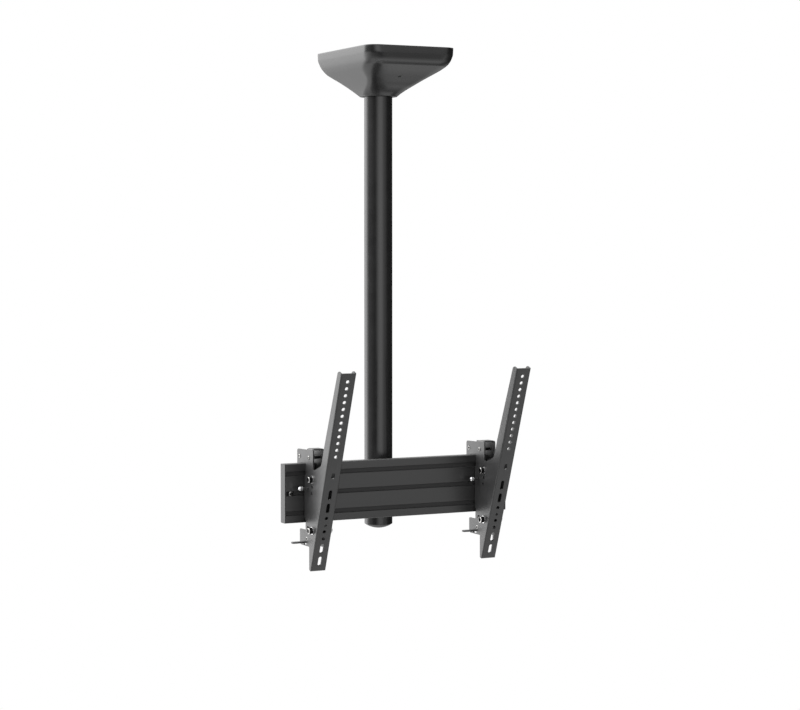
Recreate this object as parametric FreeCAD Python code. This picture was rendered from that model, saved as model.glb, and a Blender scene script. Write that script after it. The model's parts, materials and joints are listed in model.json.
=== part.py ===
import FreeCAD, Part
import math, os

# Ceiling mount for a flat screen: ceiling plate with cover, round pole, clamped
# cross rail, two hook-on brackets and two tilting screen arms.
# Millimetres, +Z up.  Origin: pole axis at the ceiling plane.  X runs along the
# cross rail, the screen side is -Y.

V = FreeCAD.Vector
os.makedirs("parts", exist_ok=True)

# ---------------------------------------------------------------- dimensions
POLE_R = 30.0            # outer radius of the pole tube
POLE_WALL = 2.5
POLE_TOP_Z = -42.0       # upper end, inside the socket
POLE_BOTTOM_Z = -1007.5  # lower end
CAP_DROP = 9.8           # height of the domed end cap under the tube
CABLE_SLOT_W = 30.0      # cable outlet in the rear of the pole, above the clamp
CABLE_SLOT_Z = (-838.0, -768.0)

COVER_HX = 102.0         # half width of the cover along X
COVER_Y0 = -169.5        # front edge of the cover at the ceiling
COVER_Y1 = 108.5         # rear edge
COVER_NECK = 35.0        # where the faces would meet at share 1, measured from the pole's middle
COVER_WALL = 2.5
COVER_BOTTOM_Z = -94.4
COVER_BORE_R = 31.2
# height, how far the front face and the other three faces have moved from the
# top rectangle (0) to the neck (1), and the upright corner radius
COVER_CURVE = [(0.0, 0.0, 0.0, 27.0), (-14.0, 0.0, 0.0, 29.0), (-20.0, 0.0086, 0.0122, 31.0),
               (-26.0, 0.0211, 0.0317, 33.0), (-32.0, 0.0514, 0.0628, 34.0), (-37.5, 0.1085, 0.1100, 33.2),
               (-44.0, 0.2330, 0.1833, 31.0), (-49.0, 0.3270, 0.2680, 27.8), (-54.0, 0.4150, 0.3700, 23.6),
               (-62.0, 0.5450, 0.5360, 17.5), (-68.0, 0.6402, 0.6385, 16.5), (-74.0, 0.7290, 0.7227, 19.5),
               (-80.0, 0.8230, 0.7965, 24.0), (-86.0, 0.8990, 0.8611, 29.5), (-90.0, 0.9345, 0.9013, 33.5),
               (-93.2, 0.9565, 0.9359, 36.5)]
SCREW_Y = -104.0         # fixing screw in the front face

PLATE_X = 180.0          # steel ceiling plate, centred on the pole
PLATE_Y = 190.0
PLATE_T = 4.0
FIX_X = 144.0            # fixing hole spacing
FIX_Y = 150.0
FIX_R = 5.25
CABLE_R = 22.0           # middle hole

SOCKET_R = 40.0
SOCKET_BORE_R = 34.0
COLLAR_R = 45.0          # ring screwed on under the socket; its ledge carries the pole
SOCKET_LIP_R = 30.4
SOCKET_LIP_Z = -52.0
COLLAR_TOP_Z = -42.0
SOCKET_BOTTOM_Z = -64.0

RAIL_Y = -95.0           # front face of the rail
RAIL_Z = -860.0          # top of the rail
RAIL_H = 122.5
RAIL_T = 21.5
RAIL_HALF = 260.0        # half length over the end caps
RAIL_CAP_T = 2.5
CAP_PLUG = 5.0           # how far the cap's plugs reach into the rail
GROOVE_W = 9.0
GROOVE_D = 6.5
CHAMBER_D = 9.0          # rail face to the hollow chambers behind the grooves
GROOVE_PITCH = 41.0
TSLOT_H = (-35.0, -87.5) # T-slots in the rear face, below the rail top
STOP_X = 247.0           # end stop screws

CLAMP_TOP_Z = -876.0
CLAMP_BOTTOM_Z = -968.0
CLAMP_BORE_R = 30.4
CLAMP_R = 38.5
CLAMP_EAR_X = 62.0
CLAMP_BOLT_X = 50.0
CLAMP_BOLT_Z = (-905.0, -939.0)

ARM_X = 200.0            # arm centre lines
ARM_W = 34.0
ARM_T = 3.0
ARM_L = 442.0
ARM_TILT = 20.0          # lean of the arms, degrees
ARM_TOP_Y = -279.0       # upper front edge of the arm face
ARM_TOP_Z = -665.0
HOLE_FIRST = 17.75
HOLE_PITCH = 15.0
HOLE_COUNT = 12
HOLE_R = 3.75

BR_HALF = 13.7           # hook bracket, half of its outer width
BR_T = 3.0
PIVOT = (42.0, -29.5)    # (forward of the rail face, above the rail top)
TILTB = (42.0, -134.5)   # tilt bolt
TILT_TRAVEL = 12.0       # degrees
BOLT_R = 4.0
BOLT_HOLE_R = 4.05
ARM_HOLE_R = 4.4
PINS = ((-30.0, 13.0), (17.0, 13.5), (8.0, -155.5))
PIN_R = 3.0
INDEX_HOLES = ((41.0, -45.0), (38.7, -58.7))
LOCK = (20.0, -49.3)     # thumb screw
LATCH_TRAVEL = 4.0
SPRING_R = 4.0           # latch return spring, standing on the lowest cross pin
SPRING_WIRE = 1.0
SPRING_TOP_H = -122.0

# ---------------------------------------------------------------- helpers
def solid(s):
    s = s.removeSplitter()
    if len(s.Solids) == 1:
        s = s.Solids[0]
    return s

def save(name, s):
    if not s.isValid():
        s.fix(1e-4, 1e-4, 1e-3)
    assert s.isValid(), name
    s.exportStep("parts/%s.step" % name)
    bb = s.BoundBox
    print("%-24s solids %d  vol %9.1f  X %.1f..%.1f Y %.1f..%.1f Z %.1f..%.1f" % (
        name, len(s.Solids), s.Volume, bb.XMin, bb.XMax, bb.YMin, bb.YMax, bb.ZMin, bb.ZMax))

def rounded_wire(pts, closed=True):
    """pts: list of (V, radius); straight runs joined by tangent arcs."""
    n = len(pts)
    segs = []
    for i in range(n):
        p, r = pts[i]
        a = pts[(i - 1) % n][0]
        b = pts[(i + 1) % n][0]
        if r <= 0:
            segs.append((p, None, p))
            continue
        u = (a - p).normalize()
        w = (b - p).normalize()
        ang = u.getAngle(w)
        d = r / math.tan(ang / 2.0)
        bis = (u + w).normalize()
        c = p + bis * (r / math.sin(ang / 2.0))
        segs.append((p + u * d, c - bis * r, p + w * d))
    edges = []
    for i in range(n):
        s0, m, s1 = segs[i]
        if m is not None:
            edges.append(Part.Arc(s0, m, s1).toShape())
        nx = segs[(i + 1) % n][0]
        if s1.distanceToPoint(nx) > 1e-6:
            edges.append(Part.LineSegment(s1, nx).toShape())
    return Part.Wire(edges)

def slab_x(yz, x0, x1):
    """plate in the YZ plane, from x0 to x1; yz: (y, z, radius)"""
    w = rounded_wire([(V(x0, p[0], p[1]), p[2] if len(p) > 2 else 0.0) for p in yz])
    return Part.Face(w).extrude(V(x1 - x0, 0, 0))

def slab_z(xy, z0, z1):
    w = rounded_wire([(V(p[0], p[1], z0), p[2] if len(p) > 2 else 0.0) for p in xy])
    return Part.Face(w).extrude(V(0, 0, z1 - z0))

def slab_y(xz, y0, y1):
    w = rounded_wire([(V(p[0], y0, p[1]), p[2] if len(p) > 2 else 0.0) for p in xz])
    return Part.Face(w).extrude(V(0, y1 - y0, 0))

def box(x0, x1, y0, y1, z0, z1):
    return Part.makeBox(x1 - x0, y1 - y0, z1 - z0, V(x0, y0, z0))

def cyl(r, p0, p1):
    d = p1 - p0
    return Part.makeCylinder(r, d.Length, p0, d)

def ring(ro, ri, p0, p1):
    return cyl(ro, p0, p1).cut(cyl(ri, p0, p1))

def revolve(profile, origin, axis, ref):
    """profile (axial, radial) about axis through origin; ref is the radial unit vector"""
    axis = V(axis).normalize()
    pts = [origin + axis * a + ref * r for a, r in profile]
    w = Part.makePolygon(pts + [pts[0]])
    return Part.Face(w).revolve(origin, axis, 360)

def hex_prism(af, p0, p1, ref):
    d = p1 - p0
    ax = V(d).normalize()
    e1 = ref
    e2 = ax.cross(e1)
    R = af / math.sqrt(3.0)
    pts = [p0 + e1 * (R * math.cos(math.radians(60 * k))) + e2 * (R * math.sin(math.radians(60 * k))) for k in range(6)]
    return Part.Face(Part.makePolygon(pts + [pts[0]])).extrude(d)

def hex_nut(af, h, bore, p0, ax, ref):
    """hexagon nut with chamfered corners, from p0 along ax"""
    n = hex_prism(af, p0, p0 + ax * h, ref)
    rc = af / math.sqrt(3.0)
    c = 0.5 * (rc - af / 2.0) + 0.25
    lathe = revolve([(0, 0), (0, rc - c), (c * 0.6, rc + 0.05), (h - c * 0.6, rc + 0.05), (h, rc - c), (h, 0)], p0, ax, ref)
    n = n.common(lathe)
    if bore > 0:
        n = n.cut(cyl(bore, p0 - ax, p0 + ax * (h + 1)))
    return solid(n)

def cap_screw(p0, ax, ref, shank_r, length, head_r, head_h, socket_af, socket_d, round_top=0.0):
    """socket head screw: the head lies from p0 backwards, the shank runs along ax"""
    if round_top > 0:
        prof = [(0, 0), (0, head_r), (-head_h * 0.35, head_r)]
        k = 6
        for i in range(1, k + 1):
            a = math.radians(90.0 * i / k)
            prof.append((-head_h * 0.35 - (head_h * 0.65) * math.sin(a), head_r * 0.52 + (head_r * 0.48) * math.cos(a)))
        prof.append((-head_h, 0))
    else:
        prof = [(0, 0), (0, head_r), (-head_h + 0.7, head_r), (-head_h, head_r - 0.7), (-head_h, 0)]
    head = revolve(prof, p0, ax, ref)
    shank = revolve([(0, 0), (0, shank_r), (length - 0.8, shank_r), (length, shank_r - 0.8), (length, 0)], p0, ax, ref)
    s = head.fuse(shank)
    sock = hex_prism(socket_af, p0 - ax * (head_h + 0.5), p0 - ax * (head_h - socket_d), ref)
    return solid(s.cut(sock))

def D(d, h):
    """point (Y, Z) from forward distance d off the rail face and height h over the rail top"""
    return (RAIL_Y - d, RAIL_Z + h)

def Dr(d, h, r=0.0):
    y, z = D(d, h)
    return (y, z, r)

X, Y, Z = V(1, 0, 0), V(0, 1, 0), V(0, 0, 1)

# ---------------------------------------------------------------- ceiling plate
x0, x1 = -PLATE_X / 2, PLATE_X / 2
y0, y1 = -PLATE_Y / 2, PLATE_Y / 2
plate = slab_z([(x0, y0, 12), (x1, y0, 12), (x1, y1, 12), (x0, y1, 12)], -PLATE_T, 0)
for sx in (-1, 1):
    for sy in (-1, 1):
        plate = plate.cut(cyl(FIX_R, V(sx * FIX_X / 2, sy * FIX_Y / 2, -PLATE_T - 1), V(sx * FIX_X / 2, sy * FIX_Y / 2, 1)))
plate = plate.cut(cyl(CABLE_R, V(0, 0, -PLATE_T - 1), V(0, 0, 1)))
save("ceiling_plate", solid(plate))

# socket tube welded under the plate; the pole goes in from below with the collar on it
save("pole_socket", ring(SOCKET_R, SOCKET_BORE_R, V(0, 0, SOCKET_LIP_Z), V(0, 0, -PLATE_T)))
# turned collar screwed onto the socket; its ledge carries the pole
collar = revolve([(COLLAR_TOP_Z, SOCKET_R), (COLLAR_TOP_Z, COLLAR_R - 0.8), (COLLAR_TOP_Z - 0.8, COLLAR_R), (SOCKET_BOTTOM_Z + 1.5, COLLAR_R), (SOCKET_BOTTOM_Z, COLLAR_R - 1.5),
                  (SOCKET_BOTTOM_Z, SOCKET_LIP_R), (SOCKET_LIP_Z, SOCKET_LIP_R), (SOCKET_LIP_Z, SOCKET_R)], V(0, 0, 0), Z, X)
SET_Z = -58.0
set_screws = []
for k in range(3):
    a = math.radians(-90 + 120 * k)
    e = V(math.cos(a), math.sin(a), 0)
    collar = collar.cut(cyl(3.05, e * 29 + V(0, 0, SET_Z), e * 48 + V(0, 0, SET_Z)))
    s = revolve([(30.3, 0), (30.3, 2.2), (31.1, 3.0), (44.0, 3.0), (44.0, 0)], V(0, 0, SET_Z), e, Z)
    s = s.cut(hex_prism(3.0, e * 41 + V(0, 0, SET_Z), e * 45 + V(0, 0, SET_Z), Z))
    set_screws.append(solid(s))
save("socket_collar", solid(collar))
save("socket_lock_screws", Part.Compound(set_screws))

gussets = []
for k in range(4):
    a = 45 + 90 * k
    g = slab_y([(39.6, -PLATE_T), (72, -PLATE_T), (72, -9), (46, -39), (39.6, -39)], -2, 2)
    g.rotate(V(0, 0, 0), Z, a)
    g = g.cut(cyl(SOCKET_R, V(0, 0, -70), V(0, 0, 5)))
    gussets.append(solid(g))
save("socket_gussets", Part.Compound(gussets))

save("thrust_washer", ring(33.7, 30.7, V(0, 0, SOCKET_LIP_Z), V(0, 0, SOCKET_LIP_Z + 1.5)))

# ---------------------------------------------------------------- cover
def cover_section(z, sf, ss, off, rad):
    hx = COVER_HX - ss * (COVER_HX - COVER_NECK) - off
    ya = COVER_Y0 + sf * (-COVER_Y0 - COVER_NECK) + off
    yb = COVER_Y1 - ss * (COVER_Y1 - COVER_NECK) - off
    r = rad - off
    m = r * (1 - math.sqrt(0.5))
    e = []
    def arc(ax, ay, bx, by, cx, cy):
        e.append(Part.Arc(V(ax, ay, z), V(bx, by, z), V(cx, cy, z)).toShape())
    def line(ax, ay, bx, by):
        e.append(Part.LineSegment(V(ax, ay, z), V(bx, by, z)).toShape())
    line(-hx + r, ya, hx - r, ya)
    arc(hx - r, ya, hx - m, ya + m, hx, ya + r)
    line(hx, ya + r, hx, yb - r)
    arc(hx, yb - r, hx - m, yb - m, hx - r, yb)
    line(hx - r, yb, -hx + r, yb)
    arc(-hx + r, yb, -hx + m, yb - m, -hx, yb - r)
    line(-hx, yb - r, -hx, ya + r)
    arc(-hx, ya + r, -hx + m, ya + m, -hx + r, ya)
    return Part.Wire(e)

def cover_body(inner):
    w = COVER_WALL if inner else 0.0
    def off(z):
        if not inner:
            return 0.0
        k = min(1.0, max(0.0, (-14.0 - z) / 32.0))
        return w + (1.2 - w) * k
    def lift(z):
        if not inner:
            return 0.0
        k = min(1.0, max(0.0, (-14.0 - z) / 20.0))
        return 2.2 * k
    def sec(c):
        z, sf, ss, rad = c
        return cover_section(z + lift(z), sf, ss, off(z), rad)
    b = Part.makeLoft([sec(c) for c in COVER_CURVE], True, True)
    z, sf, ss, rad = COVER_CURVE[-1]
    if inner:
        b = b.fuse(Part.Face(cover_section(1.0, 0.0, 0.0, w, COVER_CURVE[0][3])).extrude(V(0, 0, -1.0)))
    else:
        b = b.fuse(Part.makeLoft([cover_section(z, sf, ss, 0.0, rad), cover_section(z - 0.7, sf, ss, 0.4, rad),
                                  cover_section(COVER_BOTTOM_Z, sf, ss, 1.2, rad)], True, True))
    return b

outer = cover_body(False)
inner = cover_body(True)
cover = outer.cut(inner)
cover = cover.cut(cyl(COVER_BORE_R, V(0, 0, COVER_BOTTOM_Z - 2), V(0, 0, -60)))
# front face direction, for its fixing screw
front = [(COVER_Y0 + c[1] * (-COVER_Y0 - COVER_NECK), c[0]) for c in COVER_CURVE]
for (ya, za), (yb, zb) in zip(front, front[1:]):
    if ya <= SCREW_Y <= yb:
        yl, zl, slope = ya, za, math.atan2(za - zb, yb - ya)
nf = V(0, -math.sin(slope), -math.cos(slope))
tf = V(0, math.cos(slope), -math.sin(slope))
ps = V(0.0, SCREW_Y, zl - (SCREW_Y - yl) * math.tan(slope))
cover = cover.cut(cyl(1.9, ps + nf * 3, ps - nf * 8))
cover = cover.cut(revolve([(0.5, 0), (0.5, 3.9), (-1.5, 2.0), (-1.5, 0)], ps, nf, X))
save("ceiling_cover", solid(cover))
cs = revolve([(-0.5, 0), (-0.5, 2.8), (-1.4, 1.8), (-9.0, 1.6), (-9.4, 0)], ps, nf, X)
cs = cs.cut(hex_prism(2.5, ps + nf * 0.5, ps - nf * 1.7, X))
save("cover_screw", solid(cs))
# sheet strip that the cover screws to
ip = ps - nf * 3.15
ft = 2.0
strip_x0, strip_x1 = -10.0, 10.0
foot_a = ip - tf * 9.0
foot_b = ip + tf * 9.0
leg_y = foot_b.y
foot = slab_x([(foot_a.y, foot_a.z), (foot_b.y, foot_b.z), ((foot_b - nf * ft).y, (foot_b - nf * ft).z), ((foot_a - nf * ft).y, (foot_a - nf * ft).z)], strip_x0, strip_x1)
leg = box(strip_x0, strip_x1, leg_y - 2.0, leg_y, foot_b.z + 0.4, -PLATE_T)
flange = box(strip_x0, strip_x1, leg_y - 2.0, -58.0, -PLATE_T - 2.0, -PLATE_T)
strip = foot.fuse(leg).fuse(flange)
strip = strip.cut(cyl(1.8, ps + nf * 3, ps - nf * 12))
save("cover_bracket", solid(strip))

# ---------------------------------------------------------------- pole
pole = ring(POLE_R, POLE_R - POLE_WALL, V(0, 0, POLE_BOTTOM_Z), V(0, 0, POLE_TOP_Z))
r = CABLE_SLOT_W / 2
za, zb = CABLE_SLOT_Z[0] + r, CABLE_SLOT_Z[1] - r
outlet = cyl(r, V(0, 10, za), V(0, 40, za)).fuse(cyl(r, V(0, 10, zb), V(0, 40, zb))).fuse(box(-r, r, 10, 40, za, zb))
save("pole", solid(pole.cut(outlet)))
save("pole_top_flange", ring(33.6, POLE_R, V(0, 0, -50.4), V(0, 0, -44.0)))
zc = POLE_BOTTOM_Z
rc = POLE_R - 0.7
prof = [(zc + 16, 27.3 - 2.2), (zc + 16, 27.3 - 0.6), (zc + 14, 27.3), (zc, 27.3), (zc, rc - 0.2), (zc - 0.2, rc), (zc - 0.8, rc)]
dome = CAP_DROP - 0.8
dr = (rc * rc + dome * dome) / (2 * dome)       # radius of the dome
zd = zc - CAP_DROP + dr
n = 14
for i in range(1, n + 1):
    q = rc * (1 - i / n)
    prof.append((zd - math.sqrt(dr * dr - q * q), q))
for i in range(n + 1):
    q = (27.3 - 2.2) * i / n
    prof.append((zd - math.sqrt((dr - 2.4) ** 2 - q * q), q))
save("pole_end_cap", revolve(prof, V(0, 0, 0), Z, X))

# ---------------------------------------------------------------- rail
def rail_profile(x0, x1):
    y = lambda t: RAIL_Y + t
    z = lambda h: RAIL_Z + h
    r = slab_x([(y(0), z(0), 1.8), (y(RAIL_T), z(0), 1.8), (y(RAIL_T), z(-RAIL_H), 1.8), (y(0), z(-RAIL_H), 1.8)], x0, x1)
    return r

RX = RAIL_HALF - RAIL_CAP_T
rail = rail_profile(-RX, RX)
yR = RAIL_Y + RAIL_T
mid = RAIL_Z - RAIL_H / 2
GZ = [mid + GROOVE_PITCH, mid, mid - GROOVE_PITCH]
for gz in GZ:
    g = slab_x([(RAIL_Y - 1, gz + GROOVE_W / 2 + 0.6), (RAIL_Y, gz + GROOVE_W / 2 + 0.6), (RAIL_Y + 0.8, gz + GROOVE_W / 2, 0), (RAIL_Y + GROOVE_D, gz + GROOVE_W / 2, 0.6),
                (RAIL_Y + GROOVE_D, gz - GROOVE_W / 2, 0.6), (RAIL_Y + 0.8, gz - GROOVE_W / 2, 0), (RAIL_Y, gz - GROOVE_W / 2 - 0.6), (RAIL_Y - 1, gz - GROOVE_W / 2 - 0.6)], -RX - 1, RX + 1)
    rail = rail.cut(g)
for h in TSLOT_H:
    c = RAIL_Z + h
    rail = rail.cut(box(-RX - 1, RX + 1, yR - 3.0, yR + 1, c - 4.5, c + 4.5))
    rail = rail.cut(slab_x([(yR - 11, c - 6, 1), (yR - 11, c + 6, 1), (yR - 7, c + 8.5, 1), (yR - 3, c + 8.5, 0), (yR - 3, c - 8.5, 0), (yR - 7, c - 8.5, 1)], -RX - 1, RX + 1))
CHAMBERS = [(-3.0, -24.0), (-46.0, -76.5), (-98.5, -119.5)]
for ha, hb in CHAMBERS:
    rail = rail.cut(slab_x([(RAIL_Y + CHAMBER_D, RAIL_Z + ha, 1), (yR - 2.5, RAIL_Z + ha, 1), (yR - 2.5, RAIL_Z + hb, 1), (RAIL_Y + CHAMBER_D, RAIL_Z + hb, 1)], -RX - 1, RX + 1))
for h in TSLOT_H:
    rail = rail.cut(slab_x([(RAIL_Y + 2.5, RAIL_Z + h + 7.0, 0.8), (RAIL_Y + 8.0, RAIL_Z + h + 7.0, 0.8), (RAIL_Y + 8.0, RAIL_Z + h - 6.5, 0.8), (RAIL_Y + 2.5, RAIL_Z + h - 6.5, 0.8)], -RX - 1, RX + 1))
for sx in (-1, 1):
    rail = rail.cut(cyl(3.05, V(sx * STOP_X, RAIL_Y - 1, mid), V(sx * STOP_X, RAIL_Y + CHAMBER_D + 1, mid)))
save("rail", solid(rail))

for side, sx in (("left", -1), ("right", 1)):
    xa, xb = (-RAIL_HALF, -RX) if sx < 0 else (RX, RAIL_HALF)
    cap = rail_profile(xa, xb)
    for ha, hb in CHAMBERS:
        pa, pb = (xb, xb + CAP_PLUG) if sx < 0 else (xa - CAP_PLUG, xa)
        q = 0.15
        cap = cap.fuse(slab_x([(RAIL_Y + CHAMBER_D + q, RAIL_Z + ha - q, 0.9), (yR - 2.5 - q, RAIL_Z + ha - q, 0.9), (yR - 2.5 - q, RAIL_Z + hb + q, 0.9), (RAIL_Y + CHAMBER_D + q, RAIL_Z + hb + q, 0.9)], min(pa, pb), max(pa, pb)))
    save("rail_cap_" + side, solid(cap))

stops, stop_w = [], []
for sx in (-1, 1):
    p = V(sx * STOP_X, RAIL_Y - 1.2, mid)
    stops.append(cap_screw(p, Y, X, 3.0, 12.0, 5.25, 3.3, 4.0, 2.2, round_top=1.0))
    stop_w.append(ring(6.2, 3.2, V(sx * STOP_X, RAIL_Y - 1.2, mid), V(sx * STOP_X, RAIL_Y, mid)))
save("rail_stop_screws", Part.Compound(stops))
save("rail_stop_washers", Part.Compound(stop_w))

# ---------------------------------------------------------------- pole clamp
cf = slab_z([(-CLAMP_EAR_X, yR, 2), (CLAMP_EAR_X, yR, 2), (CLAMP_EAR_X, yR + 8, 3), (-CLAMP_EAR_X, yR + 8, 3)], CLAMP_BOTTOM_Z, CLAMP_TOP_Z)
half = cyl(CLAMP_R, V(0, 0, CLAMP_BOTTOM_Z), V(0, 0, CLAMP_TOP_Z)).common(box(-60, 60, -60, -1.5, CLAMP_BOTTOM_Z - 1, CLAMP_TOP_Z + 1))
ears = slab_z([(-CLAMP_EAR_X, -1.5, 0), (-CLAMP_EAR_X, -10, 3), (CLAMP_EAR_X, -10, 3), (CLAMP_EAR_X, -1.5, 0)], CLAMP_BOTTOM_Z, CLAMP_TOP_Z)
cf = cf.fuse(half).fuse(ears)
for sx in (-1, 1):
    web = slab_z([(sx * 22, yR + 4), (sx * 36, yR + 4), (sx * 33, yR + 14), (sx * 34.0, -18.0), (sx * 26, -20.0), (sx * 25.5, yR + 14)], CLAMP_BOTTOM_Z, CLAMP_TOP_Z)
    cf = cf.fuse(web)
cf = cf.cut(cyl(CLAMP_BORE_R, V(0, 0, CLAMP_BOTTOM_Z - 1), V(0, 0, CLAMP_TOP_Z + 1)))
rear = cyl(CLAMP_R, V(0, 0, CLAMP_BOTTOM_Z), V(0, 0, CLAMP_TOP_Z)).common(box(-60, 60, 1.5, 60, CLAMP_BOTTOM_Z - 1, CLAMP_TOP_Z + 1))
rears = slab_z([(-CLAMP_EAR_X, 1.5, 0), (-CLAMP_EAR_X, 10, 3), (CLAMP_EAR_X, 10, 3), (CLAMP_EAR_X, 1.5, 0)], CLAMP_BOTTOM_Z, CLAMP_TOP_Z)
cr = rear.fuse(rears).cut(cyl(CLAMP_BORE_R, V(0, 0, CLAMP_BOTTOM_Z - 1), V(0, 0, CLAMP_TOP_Z + 1)))
bolts, washers, nuts = [], [], []
for sx in (-1, 1):
    for bz in CLAMP_BOLT_Z:
        c = lambda yy: V(sx * CLAMP_BOLT_X, yy, bz)
        cf = cf.cut(cyl(4.3, c(-20), c(0)))
        cr = cr.cut(cyl(4.3, c(0), c(20)))
        h = hex_nut(13.0, 5.3, 0, c(11.6), Y, X)
        sh = revolve([(0, 0), (0, BOLT_R), (31.3, BOLT_R), (32.1, BOLT_R - 0.8), (32.1, 0)], c(11.6), -Y, X)
        bolts.append(solid(h.fuse(sh)))
        washers.append(ring(8.0, 4.2, c(10), c(11.6)))
        washers.append(ring(8.0, 4.2, c(-11.6), c(-10)))
        nuts.append(hex_nut(13.0, 6.5, BOLT_R, c(-11.6), -Y, X))
rb, rw, rn = [], [], []
for sx in (-1, 1):
    for h in TSLOT_H:
        c = lambda yy: V(sx * CLAMP_BOLT_X, yy, RAIL_Z + h)
        cf = cf.cut(cyl(4.3, c(yR - 1), c(yR + 9)))
        head = box(sx * CLAMP_BOLT_X - 6, sx * CLAMP_BOLT_X + 6, yR - 7.0, yR - 3.0, RAIL_Z + h - 8.2, RAIL_Z + h + 8.2)
        sh = revolve([(0, 0), (0, BOLT_R), (21.2, BOLT_R), (22.0, BOLT_R - 0.8), (22.0, 0)], c(yR - 3.2), Y, X)
        rb.append(solid(head.fuse(sh)))
        rw.append(ring(8.0, 4.2, c(yR + 8), c(yR + 9.6)))
        rn.append(hex_nut(13.0, 6.5, BOLT_R, c(yR + 9.6), Y, X))
save("clamp_front", solid(cf))
save("clamp_rear", solid(cr))
save("clamp_bolts", Part.Compound(bolts))
save("clamp_washers", Part.Compound(washers))
save("clamp_nuts", Part.Compound(nuts))
save("rail_bolts", Part.Compound(rb))
save("rail_bolt_washers", Part.Compound(rw))
save("rail_bolt_nuts", Part.Compound(rn))

# ---------------------------------------------------------------- arms and brackets
T = math.radians(ARM_TILT)
def A(t, d):
    """point (Y, Z): t down the arm face from its top, d behind the face"""
    return (ARM_TOP_Y + t * math.sin(T) + d * math.cos(T), ARM_TOP_Z - t * math.cos(T) + d * math.sin(T))
def Ar(t, d, r=0.0):
    y, z = A(t, d)
    return (y, z, r)
def A3(x, t, d):
    y, z = A(t, d)
    return V(x, y, z)
AN = V(0, math.cos(T), math.sin(T))      # from the face to the rear
AT = V(0, math.sin(T), -math.cos(T))     # down the arm

d_foot = (RAIL_Y - 25.4 - (ARM_TOP_Y + ARM_L * math.sin(T))) / math.cos(T)
OUTLINE = [Ar(0, 0, 2.0), Ar(ARM_L, 0, 2.0), Ar(ARM_L, d_foot, 1.5), Dr(25.4, -168, 8), Dr(9.0, -142, 8), Dr(9.0, -118, 5), Dr(2.0, -111, 3),
           Dr(2.0, -27, 5), Dr(9.0, -20, 8), Dr(55.0, -8, 10), Dr(84.5, 2.0, 12), Ar(203, 25.6, 6), Ar(170, 25.6, 20), Ar(4.5, 17.0, 2.5), Ar(0, 13.0, 2.0)]

def slot_cutter(x, t, length, w):
    """slot through the arm face, long way down the arm"""
    r = w / 2.0
    a = A3(x, t - length / 2 + r, -2)
    b = A3(x, t + length / 2 - r, -2)
    c = cyl(r, a, a + AN * 8).fuse(cyl(r, b, b + AN * 8))
    pts = [a - X * r, b - X * r, b + X * r, a + X * r]
    c = c.fuse(Part.Face(Part.makePolygon(pts + [pts[0]])).extrude(AN * 8))
    return c

def corner_cutter(o, run, e1, e2, r):
    """waste of a rounded outer corner: o on the sharp edge, e1 and e2 point into the two faces"""
    c = o + e1 * r + e2 * r
    m = c - (e1 + e2) * (r * math.sqrt(0.5))
    a, b = o + e1 * r, o + e2 * r
    q = [a - e2, o - e1 - e2, b - e1]
    es = [Part.LineSegment(a, q[0]).toShape(), Part.LineSegment(q[0], q[1]).toShape(), Part.LineSegment(q[1], q[2]).toShape(),
          Part.LineSegment(q[2], b).toShape(), Part.Arc(b, m, a).toShape()]
    return Part.Face(Part.Wire(es)).extrude(run)

def arc_slot(pivot, centre, sweep, r, x0, x1):
    """slot swept about the pivot from centre by sweep degrees, across x0..x1"""
    py, pz = D(*pivot)
    cy, cz = D(*centre)
    a = V(x0, cy, cz)
    q = FreeCAD.Rotation(X, sweep)
    o = V(x0, py, pz)
    def rot(p, f):
        return o + FreeCAD.Rotation(X, sweep * f).multVec(p - o)
    rad = (a - o).Length
    u = (a - o).normalize()
    pi, po = o + u * (rad - r), o + u * (rad + r)
    e1 = Part.Arc(pi, rot(pi, 0.5), rot(pi, 1)).toShape()
    e2 = Part.Arc(po, rot(po, 0.5), rot(po, 1)).toShape()
    l1 = Part.LineSegment(pi, po).toShape()
    l2 = Part.LineSegment(rot(pi, 1), rot(po, 1)).toShape()
    f = Part.Face(Part.Wire([l1, e2, l2, e1])).extrude(V(x1 - x0, 0, 0))
    f = f.fuse(cyl(r, a, a + V(x1 - x0, 0, 0)))
    b = rot(a, 1)
    return f.fuse(cyl(r, b, b + V(x1 - x0, 0, 0)))

BR_SIDE = [Dr(-42, 27.5, 5), Dr(8.0, 29.0, 2), Dr(10.0, 32.5, 1.2), Dr(38, 32.5, 6), Dr(38, -9, 4), Dr(54, -20, 5), Dr(54, -142, 6), Dr(42, -171, 5),
           Dr(-29, -171, 7), Dr(-29, -138.3, 2), Dr(0.3, -138.3, 2), Dr(0.3, 0.4, 0), Dr(-22.0, 0.4, 0),
           Dr(-22.0, -12, 2), Dr(-42, -12, 5)]

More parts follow.
